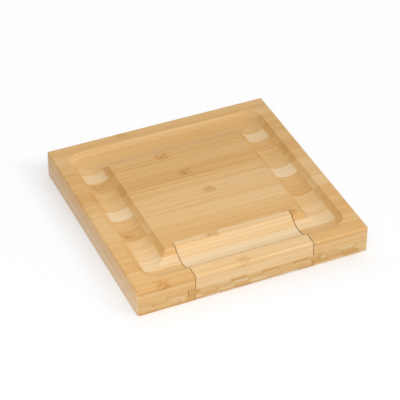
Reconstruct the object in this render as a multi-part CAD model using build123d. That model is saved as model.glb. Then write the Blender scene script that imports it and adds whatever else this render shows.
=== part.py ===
from build123d import *
import os
from math import sqrt

# Millimetres. Origin under the board's centre, X to the right, Y to the back, Z up, drawer at -Y.

# Board, glued up from three bamboo plies
BOARD = 330.0
HEIGHT = 40.0
HALF = BOARD / 2
BASE_TOP = 9.5
GUIDE_TOP = 19.5
CORNER_R = 3.0
TOP_EDGE_R = 2.5
FOOT_EDGE_R = 2.0

# Round-bottomed groove that rings the raised middle
GROOVE_LINE = 122.0
GROOVE_HALF = 23.5
GROOVE_DEPTH = 11.2
GROOVE_LIP_R = 1.2
GROOVE_R = (GROOVE_HALF**2 + GROOVE_DEPTH**2) / (2 * GROOVE_DEPTH)
OVER = 5.0
NEAR = 0.01

# Drawer, carried by the wider middle ply whose edges run as tongues between the board's plies
DRAWER_HALF = 84.0
TONGUE = 10.0
DRAWER_SEAM_Y = -90.0
DRAWER_REAR_Y = 62.0
DRAWER_FOOT = 0.8
TRAY_BOTTOM = 9.8
TRAY_TOP = 18.8
SIDE_GAP = 0.5
TONGUE_GAP = 1.0
FOOT_GAP = 0.9
SEAM_GAP = 0.3
REAR_GAP = 1.0
SEAM_BREAK = 0.35

# Cheese tools, lying side by side in the drawer with their handles to the front
TOOLS = 4
TOOL_PITCH = 38.0
TOOL_FRONT_Y = -82.0
HANDLE_L = 66.0
HANDLE_THICK = 10.5
HANDLE_EDGE_R = 4.0
BUTT_R = 8.6
SHOULDER_R = 6.8
NECK_L = 6.0
NECK_W = 10.0
NECK_H = 6.8
NECK_R = 2.0
FERRULE_L = 6.5
FERRULE_W = 12.8
FERRULE_H = 9.4
FERRULE_R = 3.2
BLADE_S = HANDLE_L + FERRULE_L
TOOL_L = 130.0
BLADE_T = 1.6
TANG_S = 40.0
TANG_W = 5.0
TANG_FIT = 0.1
SHANK_W = 8.0
CLEAVER_W = 28.0
CLEAVER_S = 82.0
CLEAVER_R = 3.0
FORK_W = 18.0
FORK_NECK_S = 88.0
FORK_HEAD_S = 100.0
TINE_S = 108.0
TINE_GAP = 7.4
TINE_TAPER = 9.0
TINE_TIP = 1.8
SPREADER_W = 21.0
SPREADER_S = 80.0
LEAF_W = 23.0
LEAF_S = 103.0

# Pockets for the tools
HANDLE_SINK = 3.5
HANDLE_Z = TRAY_BOTTOM - HANDLE_SINK + HANDLE_THICK / 2
POCKET_GAP = 1.5
POCKET_R = 3.0
POCKET_BREAK = 0.6
SCOOP_Y = -45.0
SCOOP_W = 24.0
SCOOP_L = 148.0


def block(x0, x1, y0, y1, z0, z1):
    centre = Pos((x0 + x1) / 2, (y0 + y1) / 2, (z0 + z1) / 2)
    return centre * Box(x1 - x0, y1 - y0, z1 - z0)


def slab(z0, z1):
    return Pos(0, 0, z0) * extrude(RectangleRounded(BOARD, BOARD, CORNER_R), z1 - z0)


def groove_profile():
    arc_z = HEIGHT - GROOVE_DEPTH + GROOVE_R
    lip_z = HEIGHT - GROOVE_LIP_R
    mouth = sqrt((GROOVE_R + GROOVE_LIP_R) ** 2 - (arc_z - lip_z) ** 2)
    share = GROOVE_R / (GROOVE_R + GROOVE_LIP_R)
    meet_s = mouth * share
    meet_z = arc_z + (lip_z - arc_z) * share
    towards = Vector(meet_s - mouth, meet_z - lip_z).normalized() + Vector(0, 1)
    middle = Vector(mouth, lip_z) + towards.normalized() * GROOVE_LIP_R
    right_lip = ThreePointArc((mouth, HEIGHT), middle, (meet_s, meet_z))
    bed = ThreePointArc((meet_s, meet_z), (0, HEIGHT - GROOVE_DEPTH), (-meet_s, meet_z))
    left_lip = ThreePointArc((-meet_s, meet_z), (-middle.X, middle.Y), (-mouth, HEIGHT))
    top = Polyline((-mouth, HEIGHT), (-mouth, HEIGHT + OVER), (mouth, HEIGHT + OVER), (mouth, HEIGHT))
    return make_face(Curve() + [right_lip, bed, left_lip, top])


def groove_cutters():
    profile = groove_profile()
    along_y = extrude(Plane.XZ * profile, GROOVE_LINE, both=True)
    along_x = extrude(Plane.YZ * profile, GROOVE_LINE, both=True)
    half = profile & Pos(BOARD / 2, HEIGHT) * Rectangle(BOARD, BOARD)
    corner = revolve(Plane.XZ * half, Axis.Z, revolution_arc=90)
    cutters = []
    for side in (-1, 1):
        cutters.append(Pos(side * GROOVE_LINE, 0, 0) * along_y)
        cutters.append(Pos(0, side * GROOVE_LINE, 0) * along_x)
    for turn in range(4):
        cutters.append(Rot(0, 0, 90 * turn) * Pos(GROOVE_LINE, GROOVE_LINE, 0) * corner)
    return cutters


def top_ply(z0):
    ply = slab(z0, HEIGHT)
    ply = fillet(ply.faces().sort_by(Axis.Z)[-1].edges(), TOP_EDGE_R)
    for cutter in groove_cutters():
        ply = ply - cutter
    return ply


def base_ply(z0, z1):
    ply = slab(z0, z1)
    return fillet(ply.faces().sort_by(Axis.Z)[0].edges(), FOOT_EDGE_R)


def broken_sides(piece):
    edges = []
    for face in piece.faces().filter_by(Axis.X):
        for edge in face.edges():
            if edge.center().Z > TRAY_TOP + SEAM_BREAK:
                edges.append(edge)
    return chamfer(edges, SEAM_BREAK)


def board_pieces():
    gate = DRAWER_HALF + SIDE_GAP
    slot = DRAWER_HALF + TONGUE + TONGUE_GAP
    foot = DRAWER_HALF + FOOT_GAP
    rear = DRAWER_REAR_Y + REAR_GAP
    top = top_ply(GUIDE_TOP)
    top = top - block(-gate, gate, -BOARD, DRAWER_SEAM_Y + SEAM_GAP, 0, BOARD)
    guide = slab(BASE_TOP, GUIDE_TOP)
    base = base_ply(0, BASE_TOP)
    return {
        "top_board": top,
        "left_guide_rail": guide & block(-HALF, -slot, -HALF, HALF, 0, HEIGHT),
        "right_guide_rail": guide & block(slot, HALF, -HALF, HALF, 0, HEIGHT),
        "rear_guide_block": guide & block(-slot, slot, rear, HALF, 0, HEIGHT),
        "left_base_rail": base & block(-HALF, -foot, -HALF, HALF, 0, HEIGHT),
        "right_base_rail": base & block(foot, HALF, -HALF, HALF, 0, HEIGHT),
        "rear_base_panel": base & block(-foot, foot, rear, HALF, 0, HEIGHT),
    }


def tool_x(index):
    return (index - (TOOLS - 1) / 2) * TOOL_PITCH


def pocket(width, s0, s1, x, z0, z1):
    sketch = RectangleRounded(width, s1 - s0, POCKET_R)
    return Pos(x, TOOL_FRONT_Y + (s0 + s1) / 2, z0) * extrude(sketch, z1 - z0)


def drawer_pieces(blade_widths):
    wide = DRAWER_HALF + TONGUE
    front = top_ply(TRAY_TOP) & block(-DRAWER_HALF, DRAWER_HALF, -HALF, DRAWER_SEAM_Y, 0, HEIGHT)
    tray = block(-wide, wide, -HALF, DRAWER_REAR_Y, TRAY_BOTTOM, TRAY_TOP)
    base = base_ply(DRAWER_FOOT, TRAY_BOTTOM)
    base = base & block(-DRAWER_HALF, DRAWER_HALF, -HALF, DRAWER_REAR_Y, 0, HEIGHT)
    handle_w = 2 * (BUTT_R + POCKET_GAP)
    floor = TRAY_BOTTOM - HANDLE_SINK
    for index, width in enumerate(blade_widths):
        x = tool_x(index)
        blade_w = max(width, FERRULE_W) + 2 * POCKET_GAP
        tray = tray - pocket(handle_w, -POCKET_GAP, BLADE_S + POCKET_GAP, x, 0, HEIGHT)
        tray = tray - pocket(blade_w, HANDLE_L, TOOL_L + POCKET_GAP, x, 0, HEIGHT)
        base = base - pocket(handle_w, -POCKET_GAP, BLADE_S + POCKET_GAP, x, floor, HEIGHT)
    scoop = extrude(RectangleRounded(SCOOP_L, SCOOP_W, POCKET_R), HEIGHT)
    tray = tray - Pos(0, SCOOP_Y, 0) * scoop
    brim = tray.faces().sort_by(Axis.Z)[-1].inner_wires()
    tray = chamfer([edge for wire in brim for edge in wire.edges()], POCKET_BREAK)
    return {"drawer_front": broken_sides(front), "drawer_tray": tray, "drawer_base": base}


def across(width, height, corner, s0, s1):
    sketch = Plane.XZ * RectangleRounded(width, height, corner)
    return Pos(0, s1, 0) * extrude(sketch, s1 - s0)


def handle():
    outline = make_hull(
        (Pos(0, BUTT_R) * Circle(BUTT_R)).edges()
        + (Pos(0, HANDLE_L + SHOULDER_R) * Circle(SHOULDER_R)).edges()
    )
    outline = outline & Pos(0, HANDLE_L / 2) * Rectangle(BOARD, HANDLE_L)
    body = extrude(outline, HANDLE_THICK / 2, both=True)
    flats = body.faces().filter_by(Axis.Z).edges()
    body = fillet([e for e in flats if e.center().Y < HANDLE_L - NEAR], HANDLE_EDGE_R)
    body = body + across(NECK_W, NECK_H, NECK_R, HANDLE_L, HANDLE_L + NECK_L)
    half_w = TANG_W / 2 + TANG_FIT
    half_t = BLADE_T / 2 + TANG_FIT
    return body - block(-half_w, half_w, TANG_S - TANG_FIT, BLADE_S, -half_t, half_t)


def ferrule():
    ring = across(FERRULE_W, FERRULE_H, FERRULE_R, HANDLE_L, BLADE_S)
    return ring - across(NECK_W, NECK_H, NECK_R, HANDLE_L, BLADE_S)


def bar(width, s0, s1):
    return Pos(0, (s0 + s1) / 2) * Rectangle(width, s1 - s0)


def cleaver_outline():
    middle = (CLEAVER_S + TOOL_L) / 2
    plate = Pos(0, middle) * RectangleRounded(CLEAVER_W, TOOL_L - CLEAVER_S, CLEAVER_R)
    return plate + bar(SHANK_W, BLADE_S, CLEAVER_S + OVER)


def fork_outline():
    shank = SHANK_W / 2
    side = FORK_W / 2
    tip = TINE_GAP / 2 + TINE_TIP
    right = [
        (shank, BLADE_S),
        (shank, FORK_NECK_S),
        (side, FORK_HEAD_S),
        (side, TOOL_L - TINE_TAPER),
        (tip, TOOL_L),
    ]
    left = [(-x, s) for x, s in reversed(right)]
    gap = bar(TINE_GAP, TINE_S, TOOL_L + OVER) + Pos(0, TINE_S) * Circle(TINE_GAP / 2)
    return make_face(Polyline(*right, *left, close=True)) - gap


def spreader_outline():
    root = (Pos(0, SPREADER_S) * Circle(SHANK_W / 2)).edges()
    tip = (Pos(0, TOOL_L - SPREADER_W / 2) * Circle(SPREADER_W / 2)).edges()
    return make_hull(root + tip) + bar(SHANK_W, BLADE_S, SPREADER_S)


def leaf_outline():
    right = ThreePointArc((SHANK_W / 2, BLADE_S), (LEAF_W / 2, LEAF_S), (0, TOOL_L))
    left = ThreePointArc((0, TOOL_L), (-LEAF_W / 2, LEAF_S), (-SHANK_W / 2, BLADE_S))
    root = Line((-SHANK_W / 2, BLADE_S), (SHANK_W / 2, BLADE_S))
    return make_face(Curve() + [right, left, root])


def blade(outline):
    plate = extrude(outline, BLADE_T / 2, both=True)
    flats = plate.faces().filter_by(Axis.Z).edges()
    plate = chamfer([e for e in flats if e.center().Y > BLADE_S + NEAR], BLADE_T / 4)
    return plate + block(-TANG_W / 2, TANG_W / 2, TANG_S, BLADE_S, -BLADE_T / 2, BLADE_T / 2)


def tool_pieces(name, index, outline):
    place = Pos(tool_x(index), TOOL_FRONT_Y, HANDLE_Z)
    return {
        name + "_handle": place * handle(),
        name + "_ferrule": place * ferrule(),
        name + "_blade": place * blade(outline),
    }


pieces = board_pieces()
pieces.update(drawer_pieces([CLEAVER_W, FORK_W, SPREADER_W, LEAF_W]))
pieces.update(tool_pieces("cleaver", 0, cleaver_outline()))
pieces.update(tool_pieces("fork", 1, fork_outline()))
pieces.update(tool_pieces("spreader", 2, spreader_outline()))
pieces.update(tool_pieces("leaf_knife", 3, leaf_outline()))

os.makedirs("parts", exist_ok=True)
for node, shape in pieces.items():
    export_step(shape, "parts/" + node + ".step")
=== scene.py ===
from math import cos, radians, sin

import bmesh
import bpy
from mathutils import Matrix, Vector


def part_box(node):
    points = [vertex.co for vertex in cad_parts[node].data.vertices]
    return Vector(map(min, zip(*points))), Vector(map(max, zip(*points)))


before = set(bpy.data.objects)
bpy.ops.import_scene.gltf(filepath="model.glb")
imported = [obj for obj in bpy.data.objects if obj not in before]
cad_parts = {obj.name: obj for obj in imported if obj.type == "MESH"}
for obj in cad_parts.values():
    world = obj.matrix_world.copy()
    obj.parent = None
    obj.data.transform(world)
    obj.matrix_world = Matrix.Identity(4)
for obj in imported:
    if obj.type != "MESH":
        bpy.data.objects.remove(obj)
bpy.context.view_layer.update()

# Lengths are in metres, angles in degrees, and colours in 0 to 255 as a screen shows them.

# The board's own sizes, read from the parts in model.glb
BOARD_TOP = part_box("top_board")[1][2]
BOARD_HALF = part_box("top_board")[1][0]
RAIL_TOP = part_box("left_guide_rail")[1][2]
DRAWER_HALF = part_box("drawer_front")[1][0]
DRAWER_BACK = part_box("drawer_front")[1][1]

# Pieces that share a finish
TOOLS = ("cleaver", "fork", "spreader", "leaf_knife")
DRAWER_PLIES = ("drawer_tray", "drawer_base")
RAILS = (
    "left_guide_rail",
    "right_guide_rail",
    "rear_guide_block",
    "left_base_rail",
    "right_base_rail",
    "rear_base_panel",
)

# The photograph's camera
VIEW_AZIMUTH = -23.987
VIEW_ELEVATION = 37.787
VIEW_ROLL = 0.104
VIEW_DISTANCE = 2.4638
VIEW_TARGET = Vector((-0.00414, 0.00195, 0.020))
LENS_MM = 162.91
SENSOR_MM = 36.0

# Light: each lamp's place, size and watts
LAMPS = {
    "front_lamp": (Vector((-0.40, -0.50, 0.52)), 0.45, 2.2),
    "back_lamp": (Vector((0.20, 1.50, 1.15)), 0.8, 1.0),
    "edge_lamp": (Vector((0.42, -0.70, 0.42)), 0.3, 1.3),
}
SKY_STRENGTH = 0.68
SKY_LEAN = 0.41
SKY_WHITE = (1.0, 1.0, 1.0, 1.0)

# Floor, white to the eye but for a shadow round the board
FLOOR_SIZE = 14.0
FLOOR_COLOUR = (0.94, 0.94, 0.94, 1.0)
FLOOR_ROUGHNESS = 0.9
CONTACT_REACH = (BOARD_HALF - 0.0015, BOARD_HALF + 0.003)
CONTACT_GLOW = 0.30
SHADOW_REACH = (BOARD_HALF, BOARD_HALF + 0.06)
SHADOW_GLOW = 0.64
SHADOW_SHORTER = {"left": 0.008, "right": 0.022}

# Bamboo colours
BAMBOO_TONES = (
    (0.00, (184, 126, 66)),
    (0.25, (206, 155, 88)),
    (0.50, (220, 174, 110)),
    (0.75, (229, 191, 136)),
    (1.00, (236, 210, 170)),
)
FIBRE_BROWN = (172, 114, 52)
KNUCKLE_BROWN = (184, 120, 30)
GLUE_BROWN = (150, 98, 46)
VESSEL_BROWN = (136, 88, 44)
# Painted shade in the drawer's seams and along their edges
SEAM_SHADE_BROWN = (146, 96, 44)
END_TINT = (252, 248, 236)
# Painted sheen: the pale colour that outer upright sides are mixed towards
PAINTED_SHEEN = (236, 212, 186)

# Bamboo strips, glued up in layers
STRIP_WIDTH = 0.0225
LAYER_THICK = 0.0068
PLY_LAYER_THICK = 0.005
FACE_SANDED = 0.0004
STRIP_START = 0.533
STAGGER = 0.889
GLUE_HALF = 0.00022
GLUE_STAIN = 0.3

# How a strip's tone and the start of its grain are scattered, by strip and by layer
SCATTER = 437.585
TONE_PHASE = 5.6746
STRIP_STEP = 2.316
LAYER_STEP = -1.9452
SEED_STEP = 1.37
SEED_PHASE = 0.7
SEED_SPREAD = 61.0
END_CONTRAST = 0.5
SIDE_TONE_REACH = (0.6, 1.0)

# Grain: waves to the metre along and across it, and what each adds to the tone
DEPTH_SHARE = 0.4
BANDS = {"along": 3.0, "across": 210.0, "detail": 2.0}
BAND_TONE = 0.62
FIBRES = {"along": 9.0, "across": 800.0, "detail": 4.0, "rough": 0.62}
FIBRE_TONE = 0.50
FINE_FIBRES = {"along": 30.0, "across": 3400.0, "detail": 2.0}
FINE_TONE = 0.20
INNER_GRAIN = 0.75
END_GRAIN_LOSS = 0.7
STREAK_REACH = (0.58, 0.74)
STREAK_STAIN = 0.35
SKIN_WIDTH = 0.004
SKIN_TONE = 0.22

# Knuckles, where the cane had its joints
KNUCKLE_SPACING = 0.33
KNUCKLE_STAGGER = 0.5
KNUCKLE_PHASE = 3.2114
KNUCKLE_STEP = 0.762
KNUCKLE_LAYER_STEP = -1.9917
KNUCKLE_WANDER = 0.8
KNUCKLE_LENGTH = (0.004, 0.012)
KNUCKLE_WIDTH = (0.003, 0.0095)
KNUCKLE_CENTRE = 0.35
KNUCKLE_CENTRE_WANDER = 0.3
KNUCKLE_RAGGED = 0.012
RAGGED_ENDS = {"along": 90.0, "across": 500.0, "detail": 1.0}
DASHES = {"along": 120.0, "across": 520.0, "detail": 0.0}
DASH_SEED = 0.37
DASH_REACH = (0.46, 0.62)
DASH_STAIN = 0.62
PATCH_STAIN = 0.18
BOLD_STEP = 0.9416
BOLD_PHASE = 3.736
BOLD_REACH = (0.3, 0.7)
FAINT_KNUCKLE = 0.15
INNER_KNUCKLE = 0.75

# Dots of the cane's vessels on cut ends
VESSELS_PER_METRE = 1500.0
VESSEL_REACH = (0.15, 0.40)
VESSEL_STAIN = 0.13

# Sides: how far a face has to turn to count as one, and how far out the outer ones lie
END_FACING = (0.2, 0.9)
UPRIGHT_FACING = (0.1, 0.6)
SQUARE_FACING = (0.85, 0.98)
AWAY_FACING = (0.15, 0.45)
OUTER_REACH = (BOARD_HALF - 0.007, BOARD_HALF - 0.003)

# Seams on both sides of the drawer, with painted shade inside them and along their edges
SEAM_GAP = 0.0005
SEAM_MIDDLE = DRAWER_HALF + SEAM_GAP / 2
SEAM_REACH = (0.0005, 0.0011)
SEAM_END = (DRAWER_BACK - 0.001, DRAWER_BACK)
SEAM_SHADE_SHARE = 0.75
SEAM_EDGE_SHADE_SHARE = 0.42

# Bamboo surface
BAMBOO_ROUGHNESS = 0.60
FINE_ROUGHNESS = 0.12
END_ROUGHNESS = 0.03
STREAK_HEIGHT = -0.5
GLUE_HEIGHT = -0.9
VESSEL_HEIGHT = -0.8
BAMBOO_BUMP = {"strength": 0.22, "distance": 0.0004}
BAMBOO_IOR = 1.45

# What sets each ply's bamboo, and the handles', apart from the rest
# Face plies get painted shade inside the seams and along their edges
FACE_PLY = {"sanded": FACE_SANDED, "seam_painted_shade": SEAM_SHADE_SHARE, "seam_edge_painted_shade": SEAM_EDGE_SHADE_SHARE}
TOP_BAMBOO = {
    **FACE_PLY,
    "tone": 0.50,
    "inner_contrast": 0.66,
    "inner_lift": 0.15,
    "side_contrast": 0.3,
    # painted shade: faces square to the front and back are darker
    "painted_front_shade": 0.86,
    # painted sheen: outer cut ends are paler
    "painted_end_sheen": 0.30,
}
DRAWER_FRONT_BAMBOO = {
    **FACE_PLY,
    "tone": 0.77,
    "tone_phase": 3.5712,
    "stagger": 0.489,
    "inner_contrast": 0.45,
    "side_contrast": 0.25,
    # painted light: upright faces are a little lighter
    "painted_side_light": 0.02,
    # painted shade: faces turned to the back are darker
    "painted_away_shade": -0.09,
    # painted shade: faces square to the front and back are darker
    "painted_front_shade": 0.87,
    "knuckle_phase": 5.9087,
    "knuckle_start": 0.25,
    "inner_knuckle": 0.15,
}
LOWER_PLY = {
    "layer_thick": PLY_LAYER_THICK,
    "tone": 0.68,
    "face_contrast": 0.6,
    "inner_contrast": 0.6,
    # painted sheen: outer long sides are paler
    "painted_side_sheen": 0.58,
    # painted shade: faces square to the front and back are darker
    "painted_front_shade": 0.81,
}
# Rails get painted shade inside the seams beside the drawer
RAIL_BAMBOO = {**LOWER_PLY, "seam_painted_shade": SEAM_SHADE_SHARE}
TRAY_BAMBOO = {**LOWER_PLY, "tone_phase": 1.3}
HANDLE_BAMBOO = {"strip_width": 0.06, "layer_thick": 0.06, "strip_start": 0.5, "sanded": 0.02, "tone": 0.3}
HANDLE_PHASE_STEP = 1.9

# Brushed steel of the tools
BLADE_GREY = (226, 227, 230)
FERRULE_GREY = (214, 215, 219)
BLACK = (0.0, 0.0, 0.0, 1.0)
BRUSH_LINES = {"along": 60.0, "across": 5200.0, "detail": 3.0, "rough": 0.6}
BRUSH_REACH = (0.25, 0.75)
BRUSH_DARK = 0.86
CLOUDS = {"along": 50.0, "across": 60.0, "detail": 2.0}
CLOUD_SEED = 0.3
STEEL_ROUGHNESS = 0.16
CLOUD_ROUGHNESS = 0.10
BRUSH_ROUGHNESS = 0.14
STEEL_BUMP = {"strength": 0.10, "distance": 0.0001}


def paint(colour):
    """A screen colour as the linear one that a shader takes."""
    channels = []
    for value in colour:
        level = value / 255
        channels.append(level / 12.92 if level < 0.04045 else ((level + 0.055) / 1.055) ** 2.4)
    return (*channels, 1.0)


def put(tree, socket, value):
    """Link a socket, or set it to a plain value."""
    if isinstance(value, bpy.types.NodeSocket):
        tree.links.new(value, socket)
    else:
        socket.default_value = value


def calc(tree, operation, *values):
    node = tree.nodes.new("ShaderNodeMath")
    node.operation = operation
    for socket, value in zip(node.inputs, values):
        put(tree, socket, value)
    return node.outputs[0]


def centred(tree, value):
    """A value from 0 to 1, moved to lie evenly about 0."""
    return calc(tree, "SUBTRACT", value, 0.5)


def between(tree, amount, low, high):
    """The value that lies an amount of the way from low to high."""
    return calc(tree, "MULTIPLY_ADD", amount, calc(tree, "SUBTRACT", high, low), low)


def spread(tree, value, low, high, to_low=0.0, to_high=1.0):
    """A value eased from one range to another."""
    node = tree.nodes.new("ShaderNodeMapRange")
    node.interpolation_type = "SMOOTHSTEP"
    ends = {"Value": value, "From Min": low, "From Max": high, "To Min": to_low, "To Max": to_high}
    for name, given in ends.items():
        put(tree, node.inputs[name], given)
    return node.outputs[0]


def mix(tree, amount, first, second, mode="MIX"):
    node = tree.nodes.new("ShaderNodeMix")
    node.data_type = "RGBA"
    node.blend_type = mode
    put(tree, node.inputs["Factor"], amount)
    put(tree, node.inputs["A"], first)
    put(tree, node.inputs["B"], second)
    return node.outputs["Result"]


def vector(tree, x, y, z):
    node = tree.nodes.new("ShaderNodeCombineXYZ")
    for socket, value in zip(node.inputs, (x, y, z)):
        put(tree, socket, value)
    return node.outputs[0]


def split(tree, arrow):
    node = tree.nodes.new("ShaderNodeSeparateXYZ")
    tree.links.new(arrow, node.inputs[0])
    return node.outputs


def bump(tree, height, strength, distance):
    node = tree.nodes.new("ShaderNodeBump")
    node.inputs["Strength"].default_value = strength
    node.inputs["Distance"].default_value = distance
    tree.links.new(height, node.inputs["Height"])
    return node.outputs["Normal"]


def new_group(name, inputs, outputs):
    tree = bpy.data.node_groups.new(name, "ShaderNodeTree")
    for label, value in inputs.items():
        socket = tree.interface.new_socket(label, in_out="INPUT", socket_type="NodeSocketFloat")
        socket.default_value = value
    for label, kind in outputs.items():
        tree.interface.new_socket(label, in_out="OUTPUT", socket_type=kind)
    source = tree.nodes.new("NodeGroupInput").outputs
    sink = tree.nodes.new("NodeGroupOutput").inputs
    return tree, source, sink


def place_group(tree, group):
    node = tree.nodes.new("ShaderNodeGroup")
    node.node_tree = group
    return node


def new_material(name):
    material = bpy.data.materials.new(name)
    material.use_nodes = True
    tree = material.node_tree
    return material, tree, tree.nodes["Principled BSDF"]


def scatter(tree, phase):
    """A number from 0 to 1 that jumps about as the phase steps."""
    return calc(tree, "FRACT", calc(tree, "MULTIPLY", calc(tree, "SINE", phase), SCATTER))


def stretched(tree, source, seed, along, across):
    """A place for a noise drawn out along the grain, with its own start in each strip."""
    start = calc(tree, "MULTIPLY_ADD", source["Along"], along, calc(tree, "MULTIPLY", seed, SEED_SPREAD))
    side = calc(tree, "MULTIPLY", source["Across"], across)
    down = calc(tree, "MULTIPLY", source["Depth"], across * DEPTH_SHARE)
    return vector(tree, start, side, down)


def grain_noise(tree, source, seed, along, across, detail, rough=0.55):
    node = tree.nodes.new("ShaderNodeTexNoise")
    put(tree, node.inputs["Vector"], stretched(tree, source, seed, along, across))
    put(tree, node.inputs["Scale"], 1.0)
    put(tree, node.inputs["Detail"], detail)
    put(tree, node.inputs["Roughness"], rough)
    return node.outputs["Fac"]


def edge_distance(tree, lane, size):
    """How far a place is from the nearer edge of its lane."""
    part = calc(tree, "FRACT", lane)
    nearer = calc(tree, "MINIMUM", part, calc(tree, "SUBTRACT", 1.0, part))
    return calc(tree, "MULTIPLY", nearer, size)


def strip_lanes(tree, source):
    """Layer and strip at a place, with the lanes they are counted in."""
    depth = calc(tree, "ADD", source["Depth"], source["Sanded"])
    layers = calc(tree, "DIVIDE", depth, source["Layer Thick"])
    layer = calc(tree, "FLOOR", layers)
    shift = calc(tree, "MULTIPLY_ADD", layer, source["Stagger"], source["Strip Start"])
    lane = calc(tree, "ADD", calc(tree, "DIVIDE", source["Across"], source["Strip Width"]), shift)
    return layers, layer, lane, calc(tree, "FLOOR", lane)


def strip_tone(tree, source, layer, strip_phase):
    """A strip's own tone: those of the face are matched, and vary more inside and on cut ends. Upright
    faces get a little painted light, and faces turned to the back get painted shade.
    """
    depth = calc(tree, "MINIMUM", calc(tree, "MAXIMUM", layer, 0.0), 1.0)
    inner = calc(tree, "MAXIMUM", depth, calc(tree, "MULTIPLY", source["End"], END_CONTRAST))
    contrast = between(tree, inner, source["Face Contrast"], source["Inner Contrast"])
    side = spread(tree, source["Upright"], *SIDE_TONE_REACH, 1.0, source["Side Contrast"])
    contrast = calc(tree, "MULTIPLY", contrast, side)
    level = calc(tree, "MULTIPLY_ADD", depth, source["Inner Lift"], source["Tone"])
    # Painted light: upright faces are a little lighter
    level = calc(tree, "MULTIPLY_ADD", source["Upright"], source["Painted Side Light"], level)
    # Painted shade: faces turned to the back are darker
    level = calc(tree, "MULTIPLY_ADD", source["Away"], source["Painted Away Shade"], level)
    return calc(tree, "MULTIPLY_ADD", centred(tree, scatter(tree, strip_phase)), contrast, level)


def strip_skin(tree, source, lane, seed):
    """The darker side that a strip has from the cane's skin, stronger on some than on others."""
    from_side = calc(tree, "MULTIPLY", calc(tree, "FRACT", lane), source["Strip Width"])
    return calc(tree, "MULTIPLY", spread(tree, from_side, 0.0, SKIN_WIDTH, 1.0, 0.0), seed)


def grain_share(tree, source, layer):
    """How much the drawn-out grain shows: less inside, and least on cut ends."""
    inner = spread(tree, layer, 0.0, 1.0, 1.0, INNER_GRAIN)
    return calc(tree, "MULTIPLY_ADD", source["End"], -END_GRAIN_LOSS, inner)


def tone_ramp(tree, tone):
    ramp = tree.nodes.new("ShaderNodeValToRGB")
    stops = ramp.color_ramp.elements
    for index, (place, colour) in enumerate(BAMBOO_TONES):
        stop = stops[index] if index < 2 else stops.new(place)
        stop.position = place
        stop.color = paint(colour)
    put(tree, ramp.inputs["Fac"], tone)
    return ramp.outputs["Color"]


def knuckle_start(tree, source, layer, strip):
    """Where along its strip a knuckle falls, as a share of the space between two."""
    phase = calc(tree, "MULTIPLY_ADD", strip, KNUCKLE_STEP, source["Knuckle Phase"])
    phase = calc(tree, "MULTIPLY_ADD", layer, KNUCKLE_LAYER_STEP, phase)
    wander = centred(tree, scatter(tree, phase))
    start = calc(tree, "MULTIPLY_ADD", wander, KNUCKLE_WANDER, source["Knuckle Start"])
    return calc(tree, "MULTIPLY_ADD", strip, KNUCKLE_STAGGER, start)


def knuckle_strength(tree, source, layer, strip):
    """Some strips show a bold knuckle, others a faint one, and inner layers less of either."""
    phase = calc(tree, "ADD", source["Knuckle Phase"], BOLD_PHASE)
    phase = calc(tree, "MULTIPLY_ADD", strip, BOLD_STEP, phase)
    phase = calc(tree, "MULTIPLY_ADD", layer, KNUCKLE_LAYER_STEP, phase)
    bold = spread(tree, scatter(tree, phase), *BOLD_REACH, FAINT_KNUCKLE, 1.0)
    return calc(tree, "MULTIPLY", bold, spread(tree, layer, 0.0, 1.0, 1.0, source["Inner Knuckle"]))


def knuckle_patch(tree, source, layer, lane, strip, seed):
    """A ragged patch on a strip where the cane had a knuckle."""
    start = knuckle_start(tree, source, layer, strip)
    run = calc(tree, "ADD", calc(tree, "DIVIDE", source["Along"], KNUCKLE_SPACING), start)
    along = edge_distance(tree, run, KNUCKLE_SPACING)
    ragged = centred(tree, grain_noise(tree, source, seed, **RAGGED_ENDS))
    along = calc(tree, "MULTIPLY_ADD", ragged, KNUCKLE_RAGGED, along)
    centre = calc(tree, "MULTIPLY_ADD", seed, KNUCKLE_CENTRE_WANDER, KNUCKLE_CENTRE)
    across = calc(tree, "SUBTRACT", calc(tree, "FRACT", lane), centre)
    across = calc(tree, "MULTIPLY", calc(tree, "ABSOLUTE", across), source["Strip Width"])
    length = spread(tree, along, *KNUCKLE_LENGTH, 1.0, 0.0)
    width = spread(tree, across, *KNUCKLE_WIDTH, 1.0, 0.0)
    strength = knuckle_strength(tree, source, layer, strip)
    return calc(tree, "MULTIPLY", calc(tree, "MULTIPLY", length, width), strength)


def knuckle_stain(tree, source, layer, lane, strip, seed):
    """A faint stain over a knuckle's patch, and short dark dashes in it."""
    patch = knuckle_patch(tree, source, layer, lane, strip, seed)
    dashes = grain_noise(tree, source, calc(tree, "ADD", seed, DASH_SEED), **DASHES)
    dashes = calc(tree, "MULTIPLY", patch, spread(tree, dashes, *DASH_REACH))
    return calc(tree, "MULTIPLY_ADD", dashes, DASH_STAIN, calc(tree, "MULTIPLY", patch, PATCH_STAIN))


def glue_lines(tree, source, layers, lane):
    """The glue between strips and between layers."""
    strip_gap = edge_distance(tree, lane, source["Strip Width"])
    layer_gap = edge_distance(tree, layers, source["Layer Thick"])
    return spread(tree, calc(tree, "MINIMUM", strip_gap, layer_gap), 0.0, GLUE_HALF, 1.0, 0.0)


def vessel_dots(tree, source, seed):
    """Dots of the cane's vessels, on cut ends."""
    cells = tree.nodes.new("ShaderNodeTexVoronoi")
    put(tree, cells.inputs["Vector"], stretched(tree, source, seed, 0.0, VESSELS_PER_METRE))
    put(tree, cells.inputs["Scale"], 1.0)
    dots = spread(tree, cells.outputs["Distance"], *VESSEL_REACH, 1.0, 0.0)
    return calc(tree, "MULTIPLY", dots, source["End"])


# Mixes a colour towards a real stain, or towards painted shade or painted sheen
def stain_or_painted_light(tree, colour, mask, share, stain):
    return mix(tree, calc(tree, "MULTIPLY", mask, share), colour, paint(stain))


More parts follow.
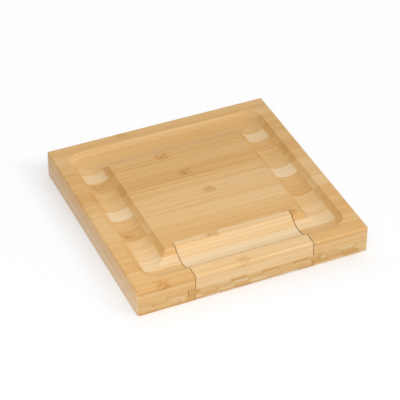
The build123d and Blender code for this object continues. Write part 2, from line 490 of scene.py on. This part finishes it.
def painted_light_on_sides(tree, source, colour):
    """Painted shade inside the seams and along their edges, painted shade on faces square to the front and
    back, and painted sheen that makes the other outer upright sides paler.
    """
    inside = calc(tree, "SUBTRACT", 1.0, source["Outer"])
    # Painted shade inside the seams and along their edges
    seam = calc(tree, "MULTIPLY", source["Sideways"], inside)
    colour = stain_or_painted_light(tree, colour, seam, source["Seam Painted Shade"], SEAM_SHADE_BROWN)
    colour = stain_or_painted_light(tree, colour, source["Seam Edge"], source["Seam Edge Painted Shade"], SEAM_SHADE_BROWN)
    # Painted shade: faces square to the front and back are darker
    shade = between(tree, source["Front"], 1.0, source["Painted Front Shade"])
    colour = mix(tree, 1.0, colour, vector(tree, shade, shade, shade), "MULTIPLY")
    # Painted sheen: outer upright sides are mixed towards pale
    sheen_share = between(tree, source["End"], source["Painted Side Sheen"], source["Painted End Sheen"])
    outer = calc(tree, "MULTIPLY", source["Upright"], source["Outer"])
    return stain_or_painted_light(tree, colour, outer, sheen_share, PAINTED_SHEEN)


def new_strip_group():
    """The group's inputs: where a place is and which way it faces, then a ply's own values."""
    place = ("Along", "Across", "Depth")
    facing = ("End", "Upright", "Front", "Sideways", "Away", "Outer", "Seam Edge")
    inputs = {label: 0.0 for label in place + facing}
    inputs |= {
        "Strip Width": STRIP_WIDTH,
        "Layer Thick": LAYER_THICK,
        "Sanded": 0.0,
        "Strip Start": STRIP_START,
        "Stagger": STAGGER,
        "Tone": 0.5,
        "Tone Phase": TONE_PHASE,
        "Face Contrast": 0.4,
        "Inner Contrast": 0.9,
        "Inner Lift": 0.0,
        "Side Contrast": 1.0,
        # Painted light on upright faces
        "Painted Side Light": 0.0,
        # Painted shade on faces turned to the back
        "Painted Away Shade": 0.0,
        # Painted shade on faces square to the front and back
        "Painted Front Shade": 1.0,
        # Painted shade inside the seams and along their edges
        "Seam Painted Shade": 0.0,
        "Seam Edge Painted Shade": 0.0,
        # Painted sheen on outer long sides and outer cut ends
        "Painted Side Sheen": 0.0,
        "Painted End Sheen": 0.0,
        "Knuckle Phase": KNUCKLE_PHASE,
        "Knuckle Start": 0.0,
        "Inner Knuckle": INNER_KNUCKLE,
    }
    outputs = {"Color": "NodeSocketColor", "Roughness": "NodeSocketFloat", "Height": "NodeSocketFloat"}
    return new_group("bamboo_strips", inputs, outputs)


def bamboo_strips():
    tree, source, sink = new_strip_group()
    layers, layer, lane, strip = strip_lanes(tree, source)
    layer_phase = calc(tree, "MULTIPLY_ADD", layer, LAYER_STEP, source["Tone Phase"])
    strip_phase = calc(tree, "MULTIPLY_ADD", strip, STRIP_STEP, layer_phase)
    seed = scatter(tree, calc(tree, "MULTIPLY_ADD", strip_phase, SEED_STEP, SEED_PHASE))

    # The strip's tone, with fibres drawn out along the grain
    bands = grain_noise(tree, source, seed, **BANDS)
    fibres = grain_noise(tree, source, seed, **FIBRES)
    fine = grain_noise(tree, source, seed, **FINE_FIBRES)
    drawn = grain_share(tree, source, layer)
    grain = calc(tree, "MULTIPLY", centred(tree, bands), BAND_TONE)
    grain = calc(tree, "MULTIPLY_ADD", centred(tree, fibres), FIBRE_TONE, grain)
    tone = calc(tree, "MULTIPLY_ADD", grain, drawn, strip_tone(tree, source, layer, strip_phase))
    tone = calc(tree, "MULTIPLY_ADD", centred(tree, fine), FINE_TONE, tone)
    tone = calc(tree, "MULTIPLY_ADD", strip_skin(tree, source, lane, seed), -SKIN_TONE, tone)

    # Stains over that tone
    streak = calc(tree, "MULTIPLY", spread(tree, fibres, *STREAK_REACH), drawn)
    knuckle = knuckle_stain(tree, source, layer, lane, strip, seed)
    glue = glue_lines(tree, source, layers, lane)
    vessels = vessel_dots(tree, source, seed)
    colour = stain_or_painted_light(tree, tone_ramp(tree, tone), streak, STREAK_STAIN, FIBRE_BROWN)
    colour = mix(tree, knuckle, colour, paint(KNUCKLE_BROWN))
    colour = stain_or_painted_light(tree, colour, glue, GLUE_STAIN, GLUE_BROWN)
    colour = mix(tree, source["End"], colour, mix(tree, 1.0, colour, paint(END_TINT), "MULTIPLY"))
    colour = stain_or_painted_light(tree, colour, vessels, VESSEL_STAIN, VESSEL_BROWN)
    put(tree, sink["Color"], painted_light_on_sides(tree, source, colour))

    rough = calc(tree, "MULTIPLY_ADD", fine, FINE_ROUGHNESS, BAMBOO_ROUGHNESS)
    put(tree, sink["Roughness"], calc(tree, "MULTIPLY_ADD", source["End"], END_ROUGHNESS, rough))
    height = calc(tree, "MULTIPLY_ADD", streak, STREAK_HEIGHT, fine)
    height = calc(tree, "MULTIPLY_ADD", glue, GLUE_HEIGHT, height)
    put(tree, sink["Height"], calc(tree, "MULTIPLY_ADD", vessels, VESSEL_HEIGHT, height))
    return tree


def seam_edge(tree, place):
    """The edges on both sides of the drawer's seams."""
    aside = calc(tree, "SUBTRACT", calc(tree, "ABSOLUTE", place["X"]), SEAM_MIDDLE)
    beside = spread(tree, calc(tree, "ABSOLUTE", aside), *SEAM_REACH, 1.0, 0.0)
    return calc(tree, "MULTIPLY", beside, spread(tree, place["Y"], *SEAM_END, 1.0, 0.0))


def facing_masks(tree, grain, place, facing):
    """Which faces are cut ends, upright, square to the front or the sides, turned away, or outer."""
    turn = {axis: calc(tree, "ABSOLUTE", facing[axis]) for axis in "XYZ"}
    off_centre = [calc(tree, "ABSOLUTE", place[axis]) for axis in "XY"]
    return {
        "End": spread(tree, turn[grain], *END_FACING),
        "Upright": spread(tree, turn["Z"], *UPRIGHT_FACING, 1.0, 0.0),
        "Front": spread(tree, turn["Y"], *SQUARE_FACING),
        "Sideways": spread(tree, turn["X"], *SQUARE_FACING),
        "Away": spread(tree, facing["Y"], *AWAY_FACING),
        "Outer": spread(tree, calc(tree, "MAXIMUM", *off_centre), *OUTER_REACH),
        "Seam Edge": seam_edge(tree, place),
    }


def bamboo(name, group, grain, top, **values):
    """Bamboo with its strips along X or Y and its first layer under the height top."""
    material, tree, shader = new_material(name)
    coords = tree.nodes.new("ShaderNodeTexCoord").outputs
    place = split(tree, coords["Object"])
    facing = split(tree, coords["Normal"])
    strips = place_group(tree, group)
    put(tree, strips.inputs["Along"], place[grain])
    put(tree, strips.inputs["Across"], place[{"X": "Y", "Y": "X"}[grain]])
    put(tree, strips.inputs["Depth"], calc(tree, "SUBTRACT", top, place["Z"]))
    for label, mask in facing_masks(tree, grain, place, facing).items():
        put(tree, strips.inputs[label], mask)
    for label, value in values.items():
        strips.inputs[label.replace("_", " ").title()].default_value = value
    tree.links.new(strips.outputs["Color"], shader.inputs["Base Color"])
    tree.links.new(strips.outputs["Roughness"], shader.inputs["Roughness"])
    tree.links.new(bump(tree, strips.outputs["Height"], **BAMBOO_BUMP), shader.inputs["Normal"])
    shader.inputs["IOR"].default_value = BAMBOO_IOR
    return material


def brushed_lines():
    outputs = {"Shade": "NodeSocketFloat", "Roughness": "NodeSocketFloat", "Height": "NodeSocketFloat"}
    tree, source, sink = new_group("brushed_lines", {"Along": 0.0, "Across": 0.0, "Depth": 0.0}, outputs)
    lines = grain_noise(tree, source, 0.0, **BRUSH_LINES)
    clouds = grain_noise(tree, source, CLOUD_SEED, **CLOUDS)
    put(tree, sink["Shade"], spread(tree, lines, *BRUSH_REACH, BRUSH_DARK, 1.0))
    rough = calc(tree, "MULTIPLY_ADD", clouds, CLOUD_ROUGHNESS, STEEL_ROUGHNESS)
    put(tree, sink["Roughness"], calc(tree, "MULTIPLY_ADD", lines, BRUSH_ROUGHNESS, rough))
    put(tree, sink["Height"], lines)
    return tree


def steel(name, group, along, colour):
    """Steel brushed along X or Y."""
    material, tree, shader = new_material(name)
    place = split(tree, tree.nodes.new("ShaderNodeTexCoord").outputs["Object"])
    lines = place_group(tree, group)
    put(tree, lines.inputs["Along"], place[along])
    put(tree, lines.inputs["Across"], place[{"X": "Y", "Y": "X"}[along]])
    put(tree, lines.inputs["Depth"], place["Z"])
    put(tree, shader.inputs["Base Color"], mix(tree, lines.outputs["Shade"], BLACK, paint(colour)))
    put(tree, shader.inputs["Metallic"], 1.0)
    put(tree, shader.inputs["Roughness"], lines.outputs["Roughness"])
    put(tree, shader.inputs["Normal"], bump(tree, lines.outputs["Height"], **STEEL_BUMP))
    return material


def dress(nodes, material):
    for name in nodes:
        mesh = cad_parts[name].data
        mesh.materials.clear()
        mesh.materials.append(material)


def dress_board(strips):
    dress(["top_board"], bamboo("bamboo_top", strips, "X", BOARD_TOP, **TOP_BAMBOO))
    dress(["drawer_front"], bamboo("bamboo_drawer_front", strips, "X", BOARD_TOP, **DRAWER_FRONT_BAMBOO))
    dress(RAILS, bamboo("bamboo_rail", strips, "Y", RAIL_TOP, **RAIL_BAMBOO))
    dress(DRAWER_PLIES, bamboo("bamboo_tray", strips, "Y", RAIL_TOP, **TRAY_BAMBOO))


def dress_tools(strips):
    for index, tool in enumerate(TOOLS):
        handle = tool + "_handle"
        handle_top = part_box(handle)[1][2]
        values = {**HANDLE_BAMBOO, "tone_phase": HANDLE_PHASE_STEP * index}
        dress([handle], bamboo("bamboo_" + handle, strips, "Y", handle_top, **values))
    lines = brushed_lines()
    dress([tool + "_blade" for tool in TOOLS], steel("blade_steel", lines, "Y", BLADE_GREY))
    dress([tool + "_ferrule" for tool in TOOLS], steel("ferrule_steel", lines, "X", FERRULE_GREY))


def seen_rays(tree):
    """Rays that come straight, mirrored or through glass to the eye."""
    path = tree.nodes.new("ShaderNodeLightPath").outputs
    mirrored = calc(tree, "MAXIMUM", path["Is Glossy Ray"], path["Is Transmission Ray"])
    return calc(tree, "MAXIMUM", path["Is Camera Ray"], mirrored)


def floor_glow(tree):
    """White that gives way to the board's own shadow close to it."""
    place = split(tree, tree.nodes.new("ShaderNodeTexCoord").outputs["Object"])
    left = calc(tree, "SUBTRACT", SHADOW_SHORTER["left"], place["X"])
    right = calc(tree, "ADD", SHADOW_SHORTER["right"], place["X"])
    sideways = calc(tree, "MAXIMUM", left, right)
    away = calc(tree, "MAXIMUM", sideways, calc(tree, "ABSOLUTE", place["Y"]))
    near = spread(tree, away, *CONTACT_REACH, 0.0, CONTACT_GLOW)
    return calc(tree, "ADD", near, spread(tree, away, *SHADOW_REACH, 0.0, SHADOW_GLOW))


def pale_floor():
    material, tree, shader = new_material("pale_floor")
    shader.inputs["Base Color"].default_value = FLOOR_COLOUR
    shader.inputs["Roughness"].default_value = FLOOR_ROUGHNESS
    shader.inputs["Specular IOR Level"].default_value = 0.0
    glow = tree.nodes.new("ShaderNodeEmission")
    blend = tree.nodes.new("ShaderNodeMixShader")
    put(tree, blend.inputs[0], calc(tree, "MULTIPLY", seen_rays(tree), floor_glow(tree)))
    tree.links.new(shader.outputs[0], blend.inputs[1])
    tree.links.new(glow.outputs[0], blend.inputs[2])
    tree.links.new(blend.outputs[0], tree.nodes["Material Output"].inputs["Surface"])
    return material


def make_floor():
    mesh = bpy.data.meshes.new("floor")
    form = bmesh.new()
    bmesh.ops.create_grid(form, x_segments=1, y_segments=1, size=FLOOR_SIZE / 2)
    form.to_mesh(mesh)
    form.free()
    floor = bpy.data.objects.new("floor", mesh)
    bpy.context.scene.collection.objects.link(floor)
    mesh.materials.append(pale_floor())


def make_sky():
    """White all round, with more of the light from the right."""
    world = bpy.data.worlds.new("studio")
    world.use_nodes = True
    tree = world.node_tree
    background = tree.nodes["Background"]
    background.inputs["Color"].default_value = SKY_WHITE
    way = split(tree, tree.nodes.new("ShaderNodeTexCoord").outputs["Generated"])
    level = calc(tree, "MULTIPLY_ADD", way["X"], SKY_LEAN, SKY_STRENGTH)
    put(tree, background.inputs["Strength"], between(tree, seen_rays(tree), level, 1.0))
    bpy.context.scene.world = world


def make_lamp(name, place, size, watts):
    """A square lamp turned to the board."""
    lamp = bpy.data.lights.new(name, "AREA")
    lamp.size = size
    lamp.energy = watts
    holder = bpy.data.objects.new(name, lamp)
    holder.matrix_world = Matrix.Translation(place) @ place.to_track_quat("Z", "Y").to_matrix().to_4x4()
    bpy.context.scene.collection.objects.link(holder)


def make_camera():
    azimuth = radians(VIEW_AZIMUTH)
    elevation = radians(VIEW_ELEVATION)
    roll = radians(VIEW_ROLL)
    back = Vector((sin(azimuth) * cos(elevation), -cos(azimuth) * cos(elevation), sin(elevation)))
    level = Vector((cos(azimuth), sin(azimuth), 0.0))
    upright = back.cross(level)
    right = level * cos(roll) + upright * sin(roll)
    up = upright * cos(roll) - level * sin(roll)
    turn = Matrix((right, up, back)).transposed()
    data = bpy.data.cameras.new("camera")
    data.lens = LENS_MM
    data.sensor_width = SENSOR_MM
    camera = bpy.data.objects.new("camera", data)
    camera.matrix_world = Matrix.Translation(VIEW_TARGET + back * VIEW_DISTANCE) @ turn.to_4x4()
    bpy.context.scene.collection.objects.link(camera)
    bpy.context.scene.camera = camera


bamboo_group = bamboo_strips()
dress_board(bamboo_group)
dress_tools(bamboo_group)
make_floor()
make_sky()
for name, (place, size, watts) in LAMPS.items():
    make_lamp(name, place, size, watts)
make_camera()
bpy.context.scene.view_settings.view_transform = "Standard"
